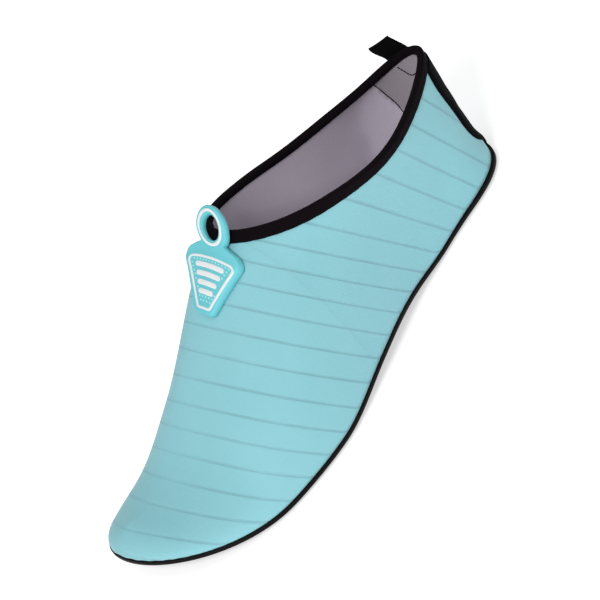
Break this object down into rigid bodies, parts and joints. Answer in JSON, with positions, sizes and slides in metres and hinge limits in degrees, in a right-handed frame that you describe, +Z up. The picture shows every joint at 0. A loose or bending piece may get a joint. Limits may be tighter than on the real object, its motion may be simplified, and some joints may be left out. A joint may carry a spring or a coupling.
{
  "type": "water shoe",
  "caption": "Slip-on left water shoe: stretch fabric upper with bound collar, heel tab and ringed instep tag on a thin treaded rubber outsole.",
  "frame": {"origin": "on the floor, below the middle of the shoe's bounding box", "axes": "+Z up, -Y towards the toe, +X towards the outer side of the foot, which is the wearer's left"},
  "size_m": [0.0888, 0.25, 0.0953],
  "materials": {
    "black_rubber": "matte moulded rubber, slightly glossy at the edge",
    "grey_foam": "fabric-faced foam",
    "aqua_fabric": "matte stretch knit with thin stripes, grey lining",
    "black_neoprene": "matte neoprene",
    "black_tape": "elastic tape",
    "black_webbing": "woven webbing",
    "aqua_plastic": "soft satin plastic"
  },
  "bodies": {
    "root": {"outsole": "black_rubber", "insole": "grey_foam", "upper": "aqua_fabric", "heel_panel": "black_neoprene", "collar_binding": "black_tape", "heel_tab": "black_webbing", "instep_tag": "aqua_plastic"}
  },
  "joints": []
}
